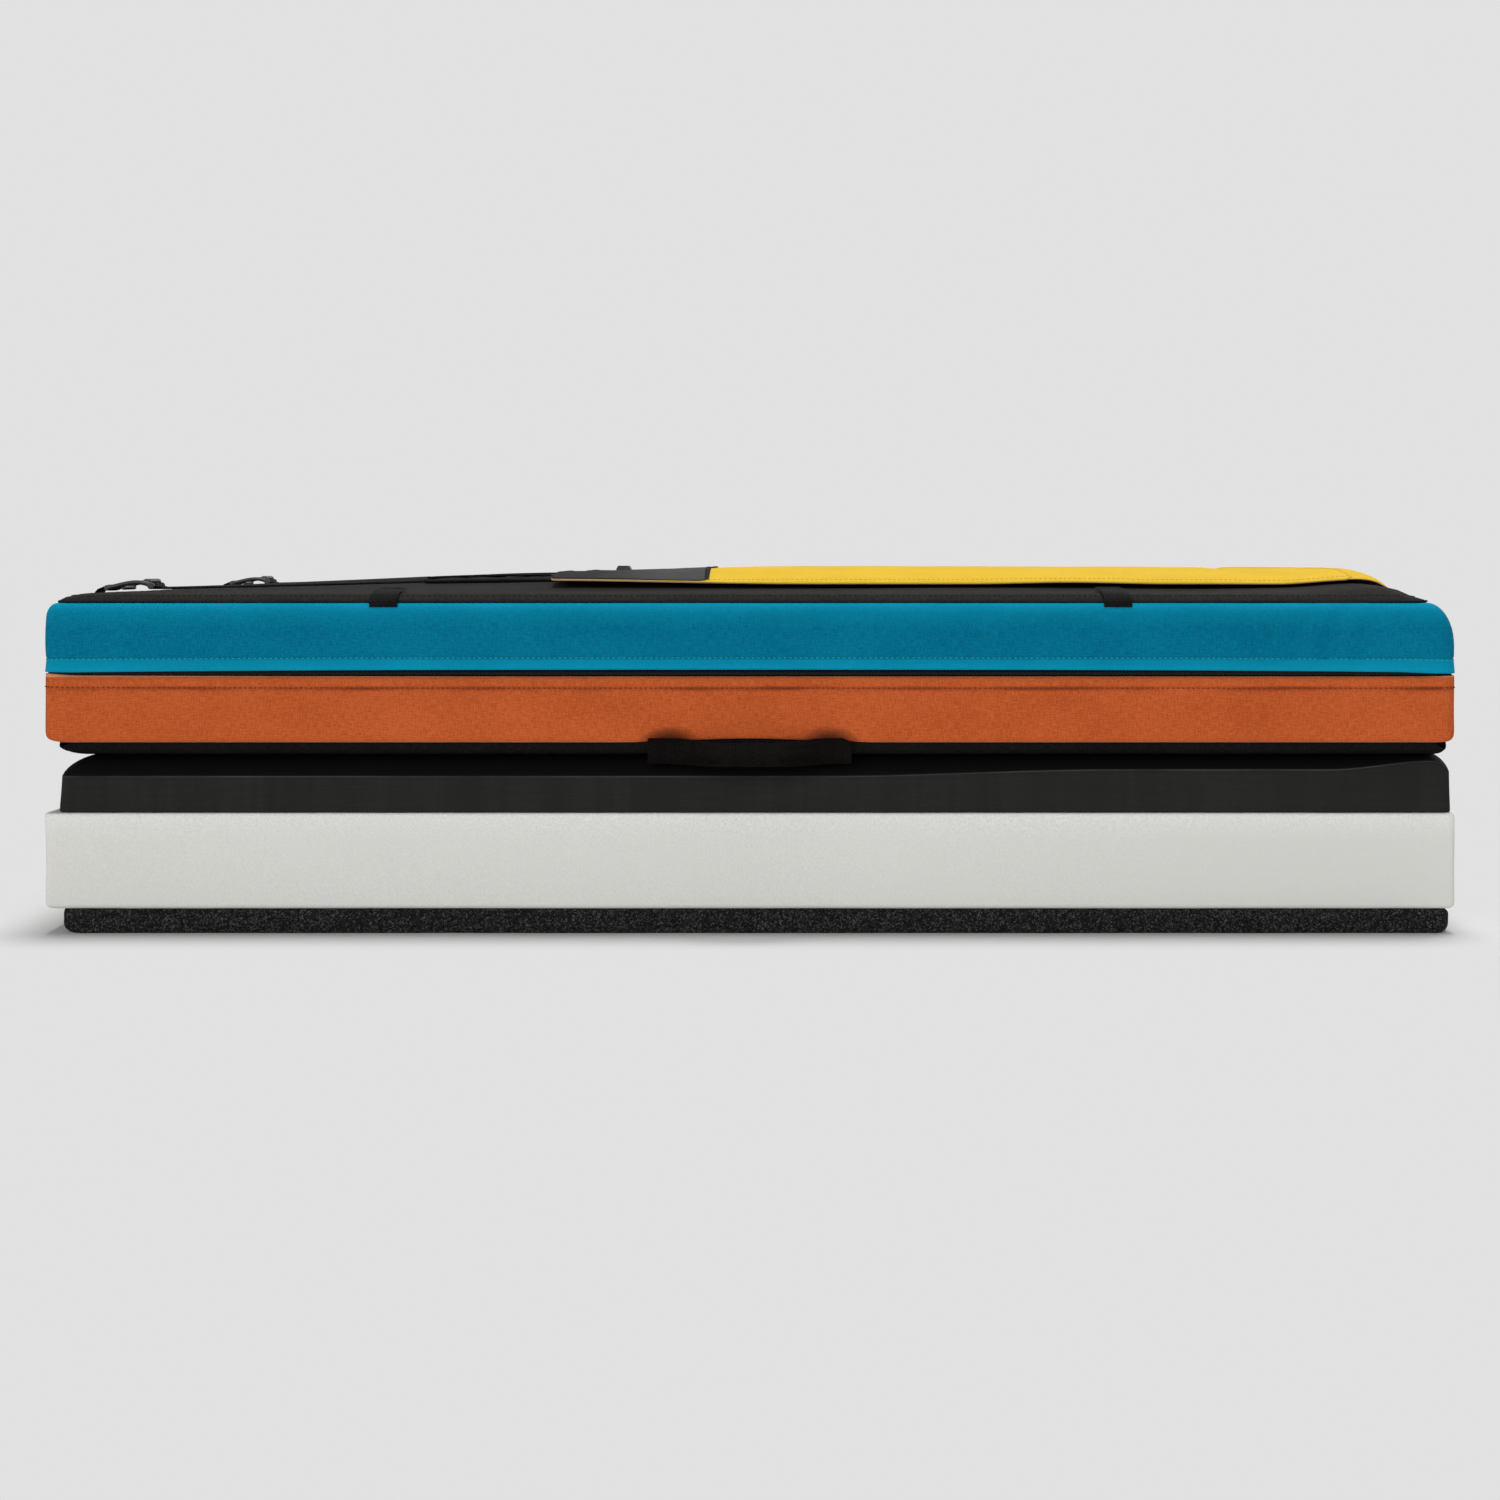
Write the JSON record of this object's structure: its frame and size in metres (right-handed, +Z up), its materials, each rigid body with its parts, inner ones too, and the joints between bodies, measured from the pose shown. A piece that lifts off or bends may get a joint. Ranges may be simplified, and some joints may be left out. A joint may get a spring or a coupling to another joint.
{
  "type": "bouldering crash pad",
  "caption": "Folding foam landing pad for bouldering: the upper half in a zipped cover with carry handle, back straps and strap flap, the lower half as bare layered foam.",
  "frame": {"origin": "middle of the whole folded pad's footprint, on the floor it lies on", "axes": "+Z up; +X along the long opening side, to the right as seen from the front; -Y towards the opening side and its carry handle, +Y towards the fold"},
  "size_m": [1.012, 0.684, 0.2615],
  "materials": {
    "rebonded_foam": "matte speckled foam",
    "white_foam": "matte open-cell foam",
    "dark_foam": "matte closed-cell foam",
    "black_fabric": "plain-weave coated nylon",
    "teal_fabric": "plain-weave coated nylon",
    "orange_fabric": "plain-weave coated nylon",
    "yellow_fabric": "plain-weave coated nylon",
    "patch_fabric": "smooth woven patch",
    "black_webbing": "ribbed webbing",
    "strap_mesh": "spacer mesh",
    "zip_black": "woven tape and coil",
    "buckle_plastic": "satin moulded nylon",
    "zip_metal": "dark enamel"
  },
  "bodies": {
    "lower_half": {"lower_ground_foam": "rebonded_foam", "lower_core_foam": "white_foam", "lower_landing_foam": "dark_foam", "lower_hinge_leaf": "black_fabric"},
    "upper_half": {"ground_panel": "black_fabric", "teal_wall": "teal_fabric", "orange_wall": "orange_fabric", "zip_tape": "zip_black", "zip_coil": "zip_black", "landing_panel": "black_fabric", "upper_landing_foam": "dark_foam", "upper_core_foam": "white_foam", "upper_ground_foam": "rebonded_foam", "upper_hinge_leaf": "black_fabric", "left_link_tab": "black_webbing", "right_link_tab": "black_webbing", "near_shoulder_pad": "strap_mesh", "far_shoulder_pad": "strap_mesh", "near_strap_webbing": "black_webbing", "far_strap_webbing": "black_webbing", "near_anchor_webbing": "black_webbing", "far_anchor_webbing": "black_webbing", "strap_top_band": "black_webbing", "flap_seam_strip": "yellow_fabric", "hold_strap_anchor": "black_webbing", "handle_left_end": "black_webbing", "handle_right_end": "black_webbing"},
    "near_adjuster": {"near_ladderlock": "buckle_plastic", "near_strap_loop": "black_webbing"},
    "far_adjuster": {"far_ladderlock": "buckle_plastic", "far_strap_loop": "black_webbing"},
    "strap_flap": {"flap": "yellow_fabric", "flap_patch": "patch_fabric", "hold_strap": "black_webbing", "hold_strap_slider": "buckle_plastic"},
    "carry_handle": {"handle_grip": "black_webbing"},
    "left_slider": {"left_zip_slider": "zip_metal"},
    "left_pull": {"left_pull_tab": "zip_metal"},
    "right_slider": {"right_zip_slider": "zip_metal"},
    "right_pull": {"right_pull_tab": "zip_metal"}
  },
  "joints": [
    {"name": "fold", "type": "hinge", "parent": "lower_half", "child": "upper_half", "pos_m": [0, 0.34049, 0.12655], "axis": [-1, 0, 0], "range_deg": [0, 180]},
    {"name": "flap_lift", "type": "hinge", "parent": "upper_half", "child": "strap_flap", "pos_m": [0.4643, 0.01199, 0.24729], "axis": [0, 1, 0], "range_deg": [0, 150]},
    {"name": "near_adjuster_tilt", "type": "hinge", "parent": "upper_half", "child": "near_adjuster", "pos_m": [-0.489, -0.18689, 0.2442], "axis": [0, -1, 0], "range_deg": [0, 60]},
    {"name": "far_adjuster_tilt", "type": "hinge", "parent": "upper_half", "child": "far_adjuster", "pos_m": [-0.489, 0.21087, 0.2442], "axis": [0, -1, 0], "range_deg": [0, 60]},
    {"name": "handle_swing", "type": "hinge", "parent": "upper_half", "child": "carry_handle", "pos_m": [0, -0.31301, 0.1303], "axis": [-1, 0, 0], "range_deg": [-25, 25]},
    {"name": "left_zip_slide", "type": "slide", "parent": "upper_half", "child": "left_slider", "axis": [0, -1, 0], "range_m": [0, 0.52]},
    {"name": "left_pull_swing", "type": "hinge", "parent": "left_slider", "child": "left_pull", "pos_m": [-0.5044, 0.26199, 0.18485], "axis": [0, 0, -1], "range_deg": [0, 170]},
    {"name": "right_zip_slide", "type": "slide", "parent": "upper_half", "child": "right_slider", "axis": [0, -1, 0], "range_m": [0, 0.52]},
    {"name": "right_pull_swing", "type": "hinge", "parent": "right_slider", "child": "right_pull", "pos_m": [0.5044, 0.26199, 0.18485], "axis": [0, 0, 1], "range_deg": [0, 170]}
  ]
}
